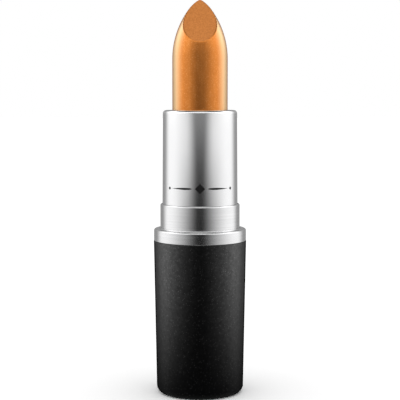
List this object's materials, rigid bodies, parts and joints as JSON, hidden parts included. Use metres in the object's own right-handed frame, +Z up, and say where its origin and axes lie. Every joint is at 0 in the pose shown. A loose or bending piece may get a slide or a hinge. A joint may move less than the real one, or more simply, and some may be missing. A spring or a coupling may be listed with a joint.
{
  "type": "lipstick case",
  "caption": "Twist-up lipstick case with its cap off: a weighted black base, a silver band, neck and turning tube, and a raised copper stick with a slanted face.",
  "frame": {"origin": "centre of the base's foot, on the table, on the axis that everything turns about", "axes": "+Z up the axis towards the tip of the stick; the stick's slanted face looks towards -Y; +X is to the right as that face is seen"},
  "size_m": [0.0204, 0.0204, 0.0864],
  "materials": {
    "speckled_black": "satin black with fine pale flecks",
    "label_film": "blank coated label",
    "zinc_steel": "dull zinc plate",
    "natural_plastic": "moulded, uncoloured",
    "turned_aluminium": "satin with fine turning lines round it",
    "silicone_rubber": "smooth, greased",
    "white_plastic": "smooth moulded",
    "satin_aluminium": "smooth satin",
    "copper_wax": "pearly copper-gold wax with a soft sheen"
  },
  "bodies": {
    "base": {"base_shell": "speckled_black", "bottom_label": "label_film", "base_weight": "zinc_steel", "base_liner": "natural_plastic", "base_band": "turned_aluminium", "neck_sleeve": "turned_aluminium", "guide_tube": "natural_plastic", "brake_ring": "silicone_rubber"},
    "twist_tube": {"outer_tube": "satin_aluminium", "cam_tube": "white_plastic"},
    "stick_carrier": {"bullet_cup": "white_plastic", "lipstick_bullet": "copper_wax"}
  },
  "joints": [
    {"name": "tube_twist", "type": "hinge", "parent": "base", "child": "twist_tube", "pos_m": [0, 0, 0.0297], "axis": [0, 0, 1], "range_deg": [0, 540]},
    {"name": "stick_lift", "type": "slide", "parent": "base", "child": "stick_carrier", "axis": [0, 0, 1], "range_m": [-0.02501, 0]}
  ],
  "couplings": [
    {"joint": "stick_lift", "follows": "tube_twist", "m_per_rad": -0.0026526}
  ]
}
